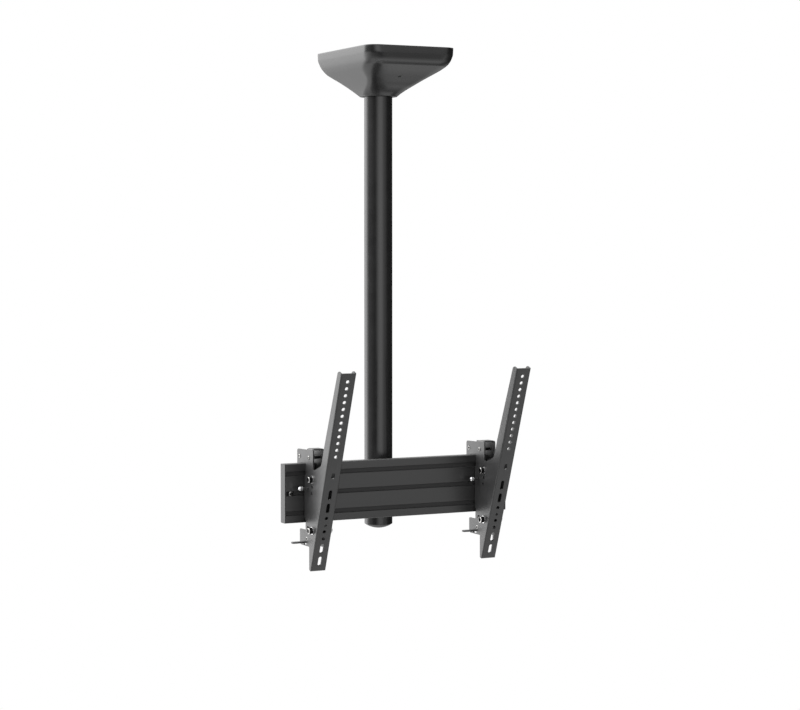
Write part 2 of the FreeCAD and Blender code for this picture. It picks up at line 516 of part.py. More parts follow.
for side, cx in (("left", -ARM_X), ("right", ARM_X)):
    # --- arm: folded channel
    hw = ARM_W / 2
    arm = slab_x(OUTLINE, cx - hw, cx + hw)
    pocket = [A(-5, ARM_T), A(ARM_L + 5, ARM_T), A(ARM_L + 5, 160), A(-5, 160)]
    arm = arm.cut(slab_x(pocket, cx - hw + ARM_T, cx + hw - ARM_T))
    for sx in (-1, 1):
        arm = arm.cut(corner_cutter(A3(cx + sx * hw, -6, 0), AT * (ARM_L + 12), X * -sx, AN, 3.2))
    for k in range(HOLE_COUNT):
        p = A3(cx, HOLE_FIRST + k * HOLE_PITCH, -2)
        arm = arm.cut(cyl(HOLE_R, p, p + AN * 8))
    arm = arm.cut(slot_cutter(cx, 225.0, 13.0, 7.5))
    arm = arm.cut(slot_cutter(cx, 268.0, 21.5, 7.5))
    arm = arm.cut(slot_cutter(cx, 298.0, 21.5, 7.5))
    for t, r in ((321.0, 3.75), (337.0, 3.0), (351.5, 3.75), (367.5, 3.75)):
        p = A3(cx, t, -2)
        arm = arm.cut(cyl(r, p, p + AN * 8))
    arm = arm.cut(slot_cutter(cx, 390.0, 20.5, 7.5))
    arm = arm.cut(slot_cutter(cx, 419.0, 20.5, 7.5))
    py, pz = D(*PIVOT)
    arm = arm.cut(cyl(ARM_HOLE_R, V(cx - 20, py, pz), V(cx + 20, py, pz)))
    arm = arm.cut(arc_slot(PIVOT, TILTB, TILT_TRAVEL + 0.4, ARM_HOLE_R, cx - 20, cx + 20))
    for hh in INDEX_HOLES:
        yy, zz = D(*hh)
        arm = arm.cut(cyl(3.25, V(cx - 20, yy, zz), V(cx + 20, yy, zz)))
    ly, lz = D(*LOCK)
    arm = arm.cut(cyl(2.8, V(cx - 20, ly, lz), V(cx - 10, ly, lz)))
    save("arm_" + side, solid(arm))

    # --- hook bracket: folded U, open to the front
    b = BR_HALF
    br = slab_x(BR_SIDE, cx - b, cx - b + BR_T).fuse(slab_x(BR_SIDE, cx + b - BR_T, cx + b))
    web = slab_x([Dr(0.3, -112), Dr(0.3, -20), Dr(3.3, -20), Dr(3.3, -112)], cx - b, cx + b)
    top = slab_x([Dr(10.5, 32.5), Dr(32.0, 32.5), Dr(32.0, 29.5), Dr(10.5, 29.5)], cx - b, cx + b)
    br = solid(br.fuse(web).fuse(top))
    for sx in (-1, 1):
        y1_, z1_ = D(9.0, 32.5)
        y2_, z2_ = D(34.0, 32.5)
        br = br.cut(corner_cutter(V(cx + sx * b, y1_, z1_), V(0, y2_ - y1_, 0), X * -sx, -Z, 2.6))
    for hh, r in ((PIVOT, BOLT_HOLE_R), (TILTB, BOLT_HOLE_R), (INDEX_HOLES[0], 3.25), (INDEX_HOLES[1], 3.25)) + tuple((p, PIN_R + 0.05) for p in PINS):
        yy, zz = D(*hh)
        br = br.cut(cyl(r, V(cx - 20, yy, zz), V(cx + 20, yy, zz)))
    ya, za = D(3.6, -161.6)
    yb, zb = D(-9.6, -169.4)
    br = br.cut(box(cx - b - 1, cx - b + BR_T + 1, ya, yb, zb, za))
    save("hook_bracket_" + side, solid(br))

    # --- cross pins riveted through the bracket
    pins = []
    for hh in PINS:
        yy, zz = D(*hh)
        p = revolve([(-b - 1.2, 0), (-b - 1.2, 3.2), (-b - 0.5, 4.4), (-b, 4.4), (-b, PIN_R), (b, PIN_R), (b, 4.4), (b + 0.5, 4.4), (b + 1.2, 3.2), (b + 1.2, 0)],
                    V(cx, yy, zz), X, Z)
        pins.append(p)
    save("hook_pins_" + side, Part.Compound(pins))

    # --- pivot and tilt bolts
    g = 0.15
    wx = hw + g
    bw, bn, bs = [], [], []
    for name, hh in (("pivot_bolt_", PIVOT), ("tilt_bolt_", TILTB)):
        yy, zz = D(*hh)
        c = lambda xx: V(cx + xx, yy, zz)
        save(name + side, cap_screw(c(-wx - 1.6), X, Z, BOLT_R, 2 * wx + 3.2 + 8.6, 6.5, 8.0, 6.0, 4.5))
        bw.append(ring(8.0, 4.2, c(-wx - 1.6), c(-wx)))
        bw.append(ring(8.0, 4.2, c(wx), c(wx + 1.6)))
        bn.append(hex_nut(13.0, 6.5, BOLT_R, c(wx + 1.6), X, Z))
        bs.append(ring(6.5, 4.2, c(-b + BR_T), c(b - BR_T)))
    save("arm_washers_" + side, Part.Compound(bw))
    save("arm_nuts_" + side, Part.Compound(bn))
    save("bracket_spacers_" + side, Part.Compound(bs))

    # --- tilt lock thumb screw: dark rod with a silver knob pressed on its left end
    k = hw
    ts = revolve([(-k + ARM_T + 0.1, 0), (-k + ARM_T + 0.1, 2.0), (-k + ARM_T - 0.4, 2.5), (-k - 1.0, 2.5), (-k - 1.0, 2.0), (-k - 17.0, 2.0), (-k - 17.0, 0)], V(cx, ly, lz), X, Z)
    save("lock_screw_" + side, ts)
    kn = revolve([(-k - 11.4, 2.0), (-k - 11.4, 3.1), (-k - 12.2, 3.9), (-k - 13.4, 4.3), (-k - 18.4, 4.3), (-k - 20.2, 3.7), (-k - 21.4, 2.3), (-k - 21.8, 0), (-k - 17.0, 0), (-k - 17.0, 2.0)],
                 V(cx, ly, lz), X, Z)
    save("lock_knob_cap_" + side, kn)

    # --- latch: folded tray with a tongue behind the rail and a finger tab
    li = b - BR_T - 0.3
    shelf = slab_z([(cx - li, RAIL_Y + 27, 0), (cx - li, RAIL_Y + 9, 0), (cx - b - 30.0, RAIL_Y + 9, 4), (cx - b - 30.0, RAIL_Y - 3, 4), (cx + li, RAIL_Y - 3, 0), (cx + li, RAIL_Y + 27, 0)],
                   RAIL_Z - 165, RAIL_Z - 162)
    tongue = slab_y([(cx + 0.5, RAIL_Z - 165, 0), (cx + 0.5, RAIL_Z - 119.5, 3), (cx + li, RAIL_Z - 119.5, 3), (cx + li, RAIL_Z - 165, 0)], RAIL_Y + 24, RAIL_Y + 27)
    la = shelf.fuse(tongue)
    for s0 in (cx - li, cx + li - 2.0):
        ch = slab_x([Dr(-27, -165), Dr(14.5, -165, 3), Dr(14.5, SPRING_TOP_H + 2, 2), Dr(2.5, SPRING_TOP_H + 2, 2), Dr(2.5, -141, 1), Dr(-27, -141, 0)], s0, s0 + 2.0)
        la = la.fuse(ch)
    la = la.fuse(slab_y([(cx - li, RAIL_Z + SPRING_TOP_H), (cx - li, RAIL_Z + SPRING_TOP_H + 2), (cx + li, RAIL_Z + SPRING_TOP_H + 2), (cx + li, RAIL_Z + SPRING_TOP_H)], RAIL_Y - 12.5, RAIL_Y - 4.5))
    yy, zz = D(*PINS[2])
    up = V(0, 0, LATCH_TRAVEL + 0.5)
    c0, c1 = V(cx - 15, yy, zz), V(cx + 15, yy, zz)
    la = la.cut(cyl(3.4, c0, c1)).cut(cyl(3.4, c0 + up, c1 + up)).cut(box(cx - 15, cx + 15, yy - 3.4, yy + 3.4, zz, zz + LATCH_TRAVEL + 0.5))
    save("latch_" + side, solid(la))

    # --- latch return spring: closed sleeve of the coil's outer and inner size
    spring = ring(SPRING_R, SPRING_R - SPRING_WIRE, V(cx, yy, zz + PIN_R), V(cx, yy, RAIL_Z + SPRING_TOP_H))
    save("latch_spring_" + side, spring)
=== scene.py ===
import bpy, bmesh, json, math
from mathutils import Vector, Matrix


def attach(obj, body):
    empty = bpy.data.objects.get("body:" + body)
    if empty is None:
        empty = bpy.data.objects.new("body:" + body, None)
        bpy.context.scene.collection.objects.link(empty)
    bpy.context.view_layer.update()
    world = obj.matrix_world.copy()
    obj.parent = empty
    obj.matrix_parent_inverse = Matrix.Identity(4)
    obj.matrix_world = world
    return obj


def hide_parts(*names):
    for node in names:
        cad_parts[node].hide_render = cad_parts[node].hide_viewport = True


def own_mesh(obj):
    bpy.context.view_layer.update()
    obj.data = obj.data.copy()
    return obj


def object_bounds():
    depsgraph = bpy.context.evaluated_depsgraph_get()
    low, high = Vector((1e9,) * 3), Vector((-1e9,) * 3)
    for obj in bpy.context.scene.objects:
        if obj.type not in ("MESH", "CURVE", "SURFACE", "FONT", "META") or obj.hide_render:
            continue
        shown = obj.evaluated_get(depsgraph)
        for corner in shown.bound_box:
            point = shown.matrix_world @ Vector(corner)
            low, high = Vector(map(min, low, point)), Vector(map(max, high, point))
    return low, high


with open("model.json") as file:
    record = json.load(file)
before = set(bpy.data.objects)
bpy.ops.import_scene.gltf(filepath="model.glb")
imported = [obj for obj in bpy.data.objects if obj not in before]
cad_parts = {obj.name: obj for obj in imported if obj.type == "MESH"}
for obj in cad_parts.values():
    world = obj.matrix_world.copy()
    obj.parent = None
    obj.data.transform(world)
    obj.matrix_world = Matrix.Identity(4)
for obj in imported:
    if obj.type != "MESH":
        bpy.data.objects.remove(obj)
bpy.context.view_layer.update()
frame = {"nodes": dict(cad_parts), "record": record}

# Ceiling mount for a flat screen: satin black cover, drop pole, clamped cross
# rail, two hook-on brackets and two tilting arms.  Metres, +Z up, screen side -Y.

NODES = frame["nodes"]
BODY = {n: b for b, ns in frame["record"]["behaviour"]["bodies"].items() for n in ns}
SLOT = {s["node"]: s["material_slot"] for s in frame["record"]["subparts"]}
MM = 0.001
X, Y, Z = Vector((1, 0, 0)), Vector((0, 1, 0)), Vector((0, 0, 1))

# ------------------------------------------------------------------ camera
cam_data = bpy.data.cameras.new("view_camera")
cam_data.sensor_width = 36.0
cam_data.sensor_fit = "HORIZONTAL"
cam_data.lens = 94.25
cam_data.clip_start, cam_data.clip_end = 0.05, 400.0
cam = bpy.data.objects.new("view_camera", cam_data)
bpy.context.scene.collection.objects.link(cam)
cam.location = (-1.9585, -4.0383, -0.4089)
cam.rotation_euler = (math.radians(86.986), 0.0, math.radians(-26.465))
bpy.context.scene.camera = cam


# ------------------------------------------------------------------ node helpers
class Tree:
    def __init__(self, name):
        self.m = bpy.data.materials.new(name)
        self.m.use_nodes = True
        self.t = self.m.node_tree
        self.bsdf = self.t.nodes["Principled BSDF"]
        self.obj = self.add("ShaderNodeTexCoord").outputs["Object"]

    def add(self, kind, **props):
        n = self.t.nodes.new(kind)
        for k, v in props.items():
            setattr(n, k, v)
        return n

    def link(self, a, b):
        self.t.links.new(a, b)

    def mapped(self, scale=(1, 1, 1), rot=(0, 0, 0), src=None):
        n = self.add("ShaderNodeMapping")
        n.inputs["Scale"].default_value = scale
        n.inputs["Rotation"].default_value = rot
        self.link(src or self.obj, n.inputs["Vector"])
        return n.outputs["Vector"]

    def noise(self, scale, detail=2.0, rough=0.5, vec=None, distortion=0.0):
        n = self.add("ShaderNodeTexNoise")
        n.inputs["Scale"].default_value = scale
        n.inputs["Detail"].default_value = detail
        n.inputs["Roughness"].default_value = rough
        n.inputs["Distortion"].default_value = distortion
        self.link(vec or self.obj, n.inputs["Vector"])
        return n.outputs["Fac"]

    def voronoi(self, scale, vec=None, feature="F1", out="Distance"):
        n = self.add("ShaderNodeTexVoronoi", feature=feature)
        n.inputs["Scale"].default_value = scale
        self.link(vec or self.obj, n.inputs["Vector"])
        return n.outputs[out]

    def ramp(self, fac, stops):
        n = self.add("ShaderNodeValToRGB")
        e = n.color_ramp.elements
        while len(e) < len(stops):
            e.new(0.5)
        for el, (p, c) in zip(e, stops):
            el.position = p
            el.color = (c[0], c[1], c[2], 1.0) if hasattr(c, "__len__") else (c, c, c, 1.0)
        self.link(fac, n.inputs["Fac"])
        return n.outputs["Color"]

    def span(self, fac, lo, hi, a=0.0, b=1.0):
        n = self.add("ShaderNodeMapRange")
        n.inputs["From Min"].default_value = a
        n.inputs["From Max"].default_value = b
        n.inputs["To Min"].default_value = lo
        n.inputs["To Max"].default_value = hi
        self.link(fac, n.inputs["Value"])
        return n.outputs["Result"]

    def maths(self, op, a, b=None, c=None):
        n = self.add("ShaderNodeMath", operation=op)
        for i, v in enumerate((a, b, c)):
            if v is None:
                continue
            if isinstance(v, (int, float)):
                n.inputs[i].default_value = v
            else:
                self.link(v, n.inputs[i])
        return n.outputs["Value"]

    def bump(self, height, strength, distance, normal=None):
        n = self.add("ShaderNodeBump")
        n.inputs["Strength"].default_value = strength
        n.inputs["Distance"].default_value = distance
        self.link(height, n.inputs["Height"])
        if normal is not None:
            self.link(normal, n.inputs["Normal"])
        return n.outputs["Normal"]

    def set(self, **vals):
        names = {"base": "Base Color", "rough": "Roughness", "metal": "Metallic", "ior": "IOR", "spec": "Specular IOR Level",
                 "coat": "Coat Weight", "coat_rough": "Coat Roughness", "normal": "Normal", "aniso": "Anisotropic", "sheen": "Sheen Weight"}
        for k, v in vals.items():
            s = self.bsdf.inputs[names[k]]
            if isinstance(v, (int, float)):
                s.default_value = v
            elif hasattr(v, "__len__"):
                s.default_value = (v[0], v[1], v[2], 1.0)
            else:
                self.link(v, s)
        return self.m


def g(v):
    return (v, v, v * 1.01)


# ------------------------------------------------------------------ materials
def powder(name, base, rough, grain, peel, grain_scale=1150.0, spec=0.5):
    """powder coat: fine grain over a soft orange peel, with a faint change of tone"""
    t = Tree(name)
    fine = t.noise(grain_scale, 2.0, 0.55)
    cell = t.voronoi(grain_scale * 0.62)
    broad = t.noise(210.0, 2.0, 0.5)
    tone = t.noise(34.0, 3.0, 0.5)
    n = t.bump(broad, peel, 0.0004)
    n = t.bump(t.maths("ADD", fine, cell), grain, 0.00012, n)
    col = t.ramp(t.maths("ADD", t.maths("MULTIPLY", fine, 0.55), t.maths("MULTIPLY", tone, 0.45)),
                 [(0.30, g(base * 0.78)), (0.52, g(base)), (0.74, g(base * 1.34))])
    r = t.maths("ADD", t.span(fine, rough - 0.045, rough + 0.045, 0.3, 0.7), t.span(tone, -0.02, 0.02, 0.3, 0.7))
    return t.set(base=col, rough=r, normal=n, spec=spec)


def moulded(name, base, rough, grain=0.10, scale=820.0):
    """moulded plastic with an even spark-eroded grain"""
    t = Tree(name)
    fine = t.noise(scale, 3.0, 0.6)
    tone = t.noise(18.0, 2.0, 0.5)
    n = t.bump(fine, grain, 0.0001)
    col = t.ramp(tone, [(0.25, g(base * 0.85)), (0.5, g(base)), (0.75, g(base * 1.2))])
    r = t.maths("ADD", t.span(fine, rough - 0.03, rough + 0.03, 0.3, 0.7), t.span(tone, -0.015, 0.015, 0.3, 0.7))
    return t.set(base=col, rough=r, normal=n, spec=0.5)


def drawn(name, base, rough, spec=0.95):
    """anodised extrusion: fine die lines that run along X"""
    t = Tree(name)
    v = t.mapped((2.2, 900.0, 900.0))
    lines = t.noise(1.0, 3.0, 0.65, v)
    v2 = t.mapped((1.2, 190.0, 190.0))
    bands = t.noise(1.0, 2.0, 0.5, v2)
    speck = t.noise(1400.0, 1.0, 0.5)
    n = t.bump(lines, 0.16, 0.00006)
    n = t.bump(speck, 0.10, 0.00006, n)
    col = t.ramp(t.maths("ADD", t.maths("MULTIPLY", lines, 0.5), t.maths("MULTIPLY", bands, 0.5)),
                 [(0.32, g(base * 0.82)), (0.52, g(base)), (0.72, g(base * 1.25))])
    r = t.maths("ADD", t.span(lines, rough - 0.04, rough + 0.04, 0.3, 0.7), t.span(bands, -0.02, 0.02, 0.3, 0.7))
    # the drawing die leaves the groove floors rougher than the outer faces
    xyz = t.add("ShaderNodeSeparateXYZ")
    t.link(t.obj, xyz.inputs[0])
    depth = t.ramp(t.span(xyz.outputs[1], 0.0, 1.0, -0.0955, -0.0855), [(0.06, 0.0), (0.16, 1.0), (0.92, 1.0), (0.98, 0.0)])
    r = t.maths("ADD", r, t.maths("MULTIPLY", depth, 0.30))
    return t.set(base=col, rough=r, normal=n, spec=spec)


def zinc(name, base=0.66, rough=0.30):
    """bright zinc plating: soft mottling, a faint cool and warm cast"""
    t = Tree(name)
    m = t.noise(380.0, 3.0, 0.6, distortion=0.4)
    f = t.noise(2600.0, 2.0, 0.5)
    col = t.ramp(m, [(0.3, (base * 0.90, base * 0.92, base * 0.96)), (0.5, (base, base, base * 1.01)), (0.72, (base * 1.07, base * 1.05, base * 1.0))])
    r = t.maths("ADD", t.span(m, rough - 0.06, rough + 0.08, 0.3, 0.7), t.span(f, -0.03, 0.03, 0.3, 0.7))
    return t.set(base=col, rough=r, normal=t.bump(f, 0.06, 0.00004), metal=1.0)


def black_oxide(name, base=0.026, rough=0.36):
    """blackened steel, mixed towards bright bare metal by a vertex layer: painted highlights on the rims of heads and
    rivets, and a rubbed grey on the lock shank
    """
    t = Tree(name)
    m = t.noise(380.0, 3.0, 0.6, distortion=0.4)
    f = t.noise(2600.0, 2.0, 0.5)
    a = t.add("ShaderNodeAttribute", attribute_name="wear_and_highlight").outputs["Fac"]
    # bright mask from the vertex layer: a painted highlight on head and rivet rims, real rubbing on the lock shank
    k = t.span(t.maths("ADD", a, t.span(t.noise(1500.0, 2.0, 0.6), -0.10, 0.10, 0.3, 0.7)), 0.0, 1.0, 0.2, 0.85)
    dark = t.ramp(m, [(0.3, g(base * 0.85)), (0.5, g(base)), (0.72, g(base * 1.2))])
    mix = t.add("ShaderNodeMix", data_type="RGBA")
    t.link(k, mix.inputs[0])
    t.link(dark, mix.inputs[6])
    mix.inputs[7].default_value = (0.80, 0.79, 0.77, 1.0)
    r = t.maths("ADD", t.span(m, rough - 0.06, rough + 0.08, 0.3, 0.7), t.span(k, 0.0, -0.12))
    return t.set(base=mix.outputs[2], rough=r, normal=t.bump(f, 0.06, 0.00004), metal=1.0)


def turned(name, base=0.84, rough=0.17):
    """turned bright metal: fine rings about the X axis"""
    t = Tree(name)
    v = t.mapped((2600.0, 60.0, 60.0))
    rings = t.noise(1.0, 2.0, 0.6, v)
    smudge = t.noise(240.0, 2.0, 0.5)
    col = t.ramp(smudge, [(0.3, g(base * 0.93)), (0.7, g(base * 1.03))])
    r = t.maths("ADD", t.span(rings, rough - 0.05, rough + 0.06, 0.3, 0.7), t.span(smudge, -0.02, 0.03, 0.3, 0.7))
    return t.set(base=col, rough=r, normal=t.bump(rings, 0.10, 0.00004), metal=1.0)


def natural_nylon(name):
    t = Tree(name)
    m = t.noise(120.0, 3.0, 0.5)
    col = t.ramp(m, [(0.3, (0.72, 0.69, 0.61)), (0.7, (0.80, 0.78, 0.71))])
    return t.set(base=col, rough=t.span(m, 0.34, 0.46, 0.3, 0.7), normal=t.bump(t.noise(900.0), 0.05, 0.0001))


MAT = {
    "black_powder_coated_steel": powder("black_powder_coated_steel", 0.034, 0.42, 0.26, 0.06, spec=0.64),
    "black_arm_coating": powder("black_arm_coating", 0.030, 0.40, 0.24, 0.05, spec=0.62),
    "black_pole_coating": powder("black_pole_coating", 0.017, 0.19, 0.08, 0.03, 900.0),
    "black_rail_aluminium": drawn("black_rail_aluminium", 0.007, 0.37),
    "black_cover_plastic": moulded("black_cover_plastic", 0.016, 0.24, 0.08),
    "black_cap_plastic": moulded("black_cap_plastic", 0.018, 0.40, 0.14, 700.0),
    "nylon": natural_nylon("nylon"),
    "zinc_plated_steel": zinc("zinc_plated_steel"),
    "black_oxide_screws": black_oxide("black_oxide_screws"),
    "bright_knob_metal": turned("bright_knob_metal"),
    "spring_wire": zinc("spring_wire", 0.52, 0.26),
}


# ------------------------------------------------------------------ mesh helpers
def finish_mesh(name, bm, node=None, body=None, mat=None, angle=32.0, weighted=True, nodes=None):
    bmesh.ops.recalc_face_normals(bm, faces=bm.faces)
    me = bpy.data.meshes.new(name)
    bm.to_mesh(me)
    bm.free()
    me.shade_smooth()
    me.set_sharp_from_angle(angle=math.radians(angle))
    o = bpy.data.objects.new(name, me)
    bpy.context.scene.collection.objects.link(o)
    group = nodes or ([node] if node else [])
    slot = mat or SLOT[group[0]]
    me.materials.append(MAT[slot])
    if weighted:
        w = o.modifiers.new("weighted_normals", "WEIGHTED_NORMAL")
        w.keep_sharp = True
        w.weight = 90
    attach(o, body or BODY[group[0]])
    if group:
        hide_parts(*group)
    return o


def refine(node, width=0.4, segments=2, angle=32.0, mat=None):
    """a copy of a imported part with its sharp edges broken"""
    src = NODES[node]
    bm = bmesh.new()
    bm.from_mesh(src.data)
    bmesh.ops.remove_doubles(bm, verts=bm.verts, dist=2e-6)
    bmesh.ops.dissolve_degenerate(bm, edges=bm.edges, dist=2e-6)
    bmesh.ops.dissolve_limit(bm, angle_limit=math.radians(0.4), use_dissolve_boundaries=False, verts=bm.verts, edges=bm.edges)
    for lay in list(bm.loops.layers.uv):
        bm.loops.layers.uv.remove(lay)
    me = bpy.data.meshes.new(node + "_edged")
    bm.to_mesh(me)
    bm.free()
    if "custom_normal" in me.attributes:
        me.attributes.remove(me.attributes["custom_normal"])
    me.shade_smooth()
    me.set_sharp_from_angle(angle=math.radians(angle))
    o = bpy.data.objects.new(node + "_edged", me)
    bpy.context.scene.collection.objects.link(o)
    slot = mat or SLOT[node]
    me.materials.clear()
    me.materials.append(MAT[slot])
    b = o.modifiers.new("edges", "BEVEL")
    b.width = width * MM
    b.segments = segments
    b.limit_method = "ANGLE"
    b.angle_limit = math.radians(30)
    b.harden_normals = True
    b.use_clamp_overlap = True
    b.miter_outer = "MITER_ARC"
    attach(o, BODY[node])
    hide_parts(node)
    return o


def frame_of(axis, ref=None):
    a = Vector(axis).normalized()
    r = Vector(ref) if ref is not None else (Z if abs(a.z) < 0.9 else X)
    e1 = (r - a * r.dot(a)).normalized()
    return a, e1, a.cross(e1)


def rings_into(bm, rings, seg, origin, axis, ref=None, closed=True):
    """rings: list of (axial, radius or function of angle); joined in order, ends closed with a point if radius is 0"""
    a, e1, e2 = frame_of(axis, ref)
    o = Vector(origin)
    prev = None
    for ax, rad in rings:
        if not callable(rad) and rad <= 1e-9:
            cur = [bm.verts.new(o + a * ax)]
        else:
            cur = []
            for k in range(seg):
                th = 2 * math.pi * k / seg
                r = rad(th) if callable(rad) else rad
                cur.append(bm.verts.new(o + a * ax + e1 * (r * math.cos(th)) + e2 * (r * math.sin(th))))
        if prev is not None:
            if len(prev) == 1 and len(cur) > 1:
                for k in range(seg):
                    bm.faces.new((prev[0], cur[(k + 1) % seg], cur[k]))
            elif len(cur) == 1 and len(prev) > 1:
                for k in range(seg):
                    bm.faces.new((prev[k], prev[(k + 1) % seg], cur[0]))
            elif len(cur) > 1:
                for k in range(seg):
                    k2 = (k + 1) % seg
                    bm.faces.new((prev[k], prev[k2], cur[k2], cur[k]))
        prev = cur
    return prev


def soft(points, r=0.3, steps=2, closed=False):
    """profile (axial, radial) in mm with its corners rounded"""
    out = []
    n = len(points)
    for i, p in enumerate(points):
        if not closed and (i == 0 or i == n - 1):
            out.append(p)
            continue
        a, b = points[(i - 1) % n], points[(i + 1) % n]
        P, A, B = Vector(p), Vector(a), Vector(b)
        u, v = A - P, B - P
        lu, lv = u.length, v.length
        if lu < 1e-6 or lv < 1e-6 or abs(u.normalized().cross(v.normalized())) < 0.2:
            out.append(p)
            continue
        d = min(r, lu * 0.45, lv * 0.45)
        s, e = P + u.normalized() * d, P + v.normalized() * d
        for k in range(steps + 1):
            t = k / steps
            q = s * (1 - t) ** 2 + P * 2 * t * (1 - t) + e * t ** 2
            out.append((q.x, q.y))
    return out


def lathe_into(bm, prof, origin, axis, ref=None, seg=96, ring=False):
    """prof in mm; ring=True closes the profile on itself (a washer, a tube)"""
    a, e1, e2 = frame_of(axis, ref)
    if ring:
        prof = prof + [prof[0]]
        o = Vector(origin)
        loops = []
        for ax, r in prof[:-1]:
            loops.append([bm.verts.new(o + a * (ax * MM) + (e1 * math.cos(2 * math.pi * k / seg) + e2 * math.sin(2 * math.pi * k / seg)) * (r * MM)) for k in range(seg)])
        for i in range(len(loops)):
            p, q = loops[i], loops[(i + 1) % len(loops)]
            for k in range(seg):
                k2 = (k + 1) % seg
                bm.faces.new((p[k], p[k2], q[k2], q[k]))
    else:
        rings_into(bm, [(ax * MM, r * MM) for ax, r in prof], seg, origin, axis, ref)


def hex_radius(af, phase=0.0):
    def f(th):
        t = (th + phase) % (math.pi / 3) - math.pi / 6
        return af / 2 / math.cos(t)
    return f


def thread_rings(a0, a1, r_core, r_crest, pitch, seg):
    """rings of a single-start thread between a0 and a1 along the axis (metres)"""
    n = max(8, int((a1 - a0) / pitch * 8))
    out = []
    for i in range(n + 1):
        ax = a0 + (a1 - a0) * i / n
        fade = min(1.0, (ax - a0) / pitch, (a1 - ax) / (pitch * 0.8) + 0.15)

        def rad(th, ax=ax, fade=fade):
            p = (ax / pitch - th / (2 * math.pi)) % 1.0
            tri = 1.0 - abs(2.0 * p - 1.0)
            return r_core + (r_crest - r_core) * min(1.0, tri * 1.25) * fade
        out.append((ax, rad))
    return out


def socket_screw_into(bm, p0, axis, ref, shank_r, length, head_r, head_h, af, depth, thread_from, pitch=1.25 * MM, seg=48, dome=False, knurl=0.0):
    """hexagon socket screw; head from p0 backwards, shank along axis"""
    h = hex_radius(af, math.pi / 6)
    fl = -(head_h - depth)
    rings = [(fl - 0.5 * MM, 0.0), (fl, lambda th: h(th) * 0.985), (fl - 0.05 * MM, h)]
    rings = [(fl + 0.9 * MM, 0.0), (fl, h), (-head_h + 0.35 * MM, h), (-head_h + 0.02 * MM, lambda th: h(th) + 0.3 * MM)]
    if dome:
        for i in range(7, -1, -1):
            a = math.radians(90.0 * i / 8)
            rings.append((-head_h * 0.35 - head_h * 0.65 * math.sin(a), head_r * 0.52 + head_r * 0.48 * math.cos(a)))
        rings.append((-0.3 * MM, head_r))
        rings.append((0.0, head_r - 0.3 * MM))
    else:
        c = 0.8 * MM
        rings.append((-head_h, head_r - c - 0.3 * MM))
        rings.append((-head_h, head_r - c))
        for i in range(1, 4):
            a = math.radians(90.0 * i / 3)
            rings.append((-head_h + c * (1 - math.cos(a)), head_r - c * (1 - math.sin(a))))
        if knurl > 0:
            z0, z1 = -head_h + c + 0.2 * MM, -0.9 * MM
            k = 24

            def kn(th):
                return head_r - knurl * (0.5 + 0.5 * math.cos(k * th)) ** 1.5
            rings.append((z0 - 0.05 * MM, head_r))
            rings.append((z0 + 0.2 * MM, kn))
            rings.append((z1 - 0.2 * MM, kn))
            rings.append((z1 + 0.05 * MM, head_r))
        rings.append((-0.25 * MM, head_r))
        rings.append((0.0, head_r - 0.25 * MM))
    rings.append((0.0, shank_r))
    if thread_from < length - 1e-5:
        rings.append((thread_from - 0.3 * MM, shank_r))
        rings += thread_rings(thread_from, length - 0.5 * MM, shank_r * 0.85, shank_r, pitch, seg)
        rings.append((length - 0.1 * MM, shank_r * 0.80))
    else:
        rings.append((length - 0.8 * MM, shank_r))
    rings.append((length, shank_r * 0.74))
    rings.append((length, 0.0))
    rings_into(bm, rings, seg, p0, axis, ref)


def hex_body_into(bm, p0, axis, ref, af, h, bore, seg=72, chamfer_low=True):
    """hexagon nut or bolt head from p0 along axis; bore 0 gives a head"""
    hx = hex_radius(af, 0.0)
    rc = af / math.sqrt(3.0)
    c = 0.5 * (rc - af / 2.0) + 0.25 * MM

    def cone(z):
        def f(th, z=z):
            lim = rc
            d = min(z, h - z) if chamfer_low else (h - z)
            if d < c * 0.6:
                lim = rc - c + d / 0.6
            return min(hx(th), lim)
        return f
    zs = [0.0, c * 0.15, c * 0.3, c * 0.45, c * 0.6, h - c * 0.6, h - c * 0.45, h - c * 0.3, h - c * 0.15, h]
    rings = []
    if bore > 0:
        rings += [(0.6 * MM, bore), (0.0, bore + 0.55 * MM)]
    else:
        rings += [(0.0, 0.0)]
    rings += [(z, cone(z)) for z in zs]
    if bore > 0:
        rings += [(h, bore + 0.55 * MM), (h - 0.6 * MM, bore)]
        a, e1, e2 = frame_of(axis, ref)
        o = Vector(p0)
        loops = []
        for ax, rad in rings:
            loops.append([bm.verts.new(o + a * ax + (e1 * math.cos(2 * math.pi * k / seg) + e2 * math.sin(2 * math.pi * k / seg)) * (rad(2 * math.pi * k / seg) if callable(rad) else rad)) for k in range(seg)])
        for i in range(len(loops)):
            p, q = loops[i], loops[(i + 1) % len(loops)]
            for k in range(seg):
                k2 = (k + 1) % seg
                bm.faces.new((p[k], p[k2], q[k2], q[k]))
    else:
        rings += [(h, 0.0)]
        rings_into(bm, rings, seg, p0, axis, ref)


def washer_into(bm, p0, axis, ro, ri, t, seg=64):
    lathe_into(bm, soft([(0, ri), (0, ro), (t, ro), (t, ri)], 0.25, 2, closed=True), p0, axis, seg=seg, ring=True)


def P(x, y, z):
    return Vector((x, y, z)) * MM


def mark_wear_and_highlight(bm, spots):
    """vertex layer of bright bare metal: spots are (origin, axis, axial range, radial range, amount), lengths in mm;
    on head rims the spots paint highlights
    """
    lay = bm.verts.layers.float.new("wear_and_highlight")
    for o, ax, (a0, a1), (r0, r1), v in spots:
        u = Vector(ax).normalized()
        for vert in bm.verts:
            d = (vert.co - o) / MM
            a = d.dot(u)
            r = (d - u * a).length
            if a0 <= a <= a1 and r0 <= r <= r1:
                vert[lay] = v


